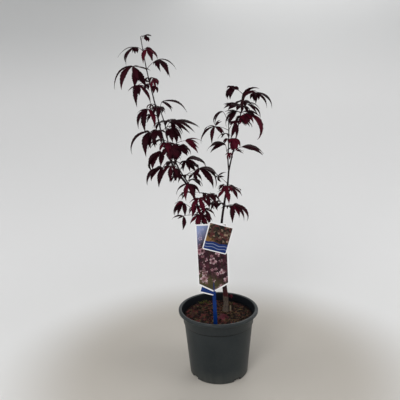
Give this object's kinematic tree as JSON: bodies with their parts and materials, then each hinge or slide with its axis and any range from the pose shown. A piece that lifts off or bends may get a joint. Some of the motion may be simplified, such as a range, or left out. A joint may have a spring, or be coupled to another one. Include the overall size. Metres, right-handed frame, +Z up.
{
  "type": "potted japanese maple",
  "caption": "Young grafted red maple with two leaning leaders and finely cut drooping leaves, in a round plastic nursery pot with a plant label.",
  "frame": {"origin": "middle of the pot's flat underside, on the floor that it stands on", "axes": "+Z up; +X to the right seen from the front; the front, with the plant label, faces -Y"},
  "size_m": [0.3608, 0.196, 0.8134],
  "materials": {
    "pot": "satin",
    "potting_mix": "rough bark and fibre",
    "rootstock": "matte bark",
    "bark": "smooth young bark",
    "foliage": "matte leaf",
    "label_holder": "satin",
    "printed_card": "printed, satin"
  },
  "bodies": {
    "root": {"pot": "pot", "potting_mix": "potting_mix", "cut_sprout": "rootstock", "trunk": "rootstock", "right_stem": "bark", "left_leader": "bark", "left_second": "bark", "right_left": "bark", "right_right": "bark", "trunk_spray_1": "foliage", "right_stem_spray_1": "foliage", "right_stem_spray_2": "foliage", "right_stem_spray_3": "foliage", "right_stem_spray_4": "foliage", "right_left_spray_1": "foliage", "right_left_spray_2": "foliage", "right_left_spray_3": "foliage", "right_left_spray_4": "foliage", "right_left_spray_5": "foliage", "right_right_spray_1": "foliage", "right_right_spray_2": "foliage", "right_right_spray_3": "foliage", "right_right_spray_4": "foliage", "right_right_spray_5": "foliage", "right_right_spray_6": "foliage", "right_right_spray_7": "foliage", "left_leader_spray_1": "foliage", "left_leader_spray_2": "foliage", "left_leader_spray_3": "foliage", "left_leader_spray_4": "foliage", "left_leader_spray_5": "foliage", "left_leader_spray_6": "foliage", "left_leader_spray_7": "foliage", "left_leader_spray_8": "foliage", "left_leader_spray_9": "foliage", "left_leader_spray_10": "foliage", "left_leader_spray_11": "foliage", "left_leader_spray_12": "foliage", "left_leader_spray_13": "foliage", "left_leader_spray_14": "foliage", "left_leader_spray_15": "foliage", "left_leader_spray_16": "foliage", "left_leader_spray_17": "foliage", "left_leader_spray_18": "foliage", "left_leader_spray_19": "foliage", "left_second_spray_1": "foliage", "left_second_spray_2": "foliage", "left_second_spray_3": "foliage", "left_second_spray_4": "foliage", "left_second_spray_5": "foliage", "left_second_spray_6": "foliage", "left_second_spray_7": "foliage", "left_second_spray_8": "foliage", "left_second_spray_9": "foliage", "label_holder": "label_holder", "label_card": "printed_card", "square_tag": "printed_card", "rear_slip": "printed_card"}
  },
  "joints": []
}
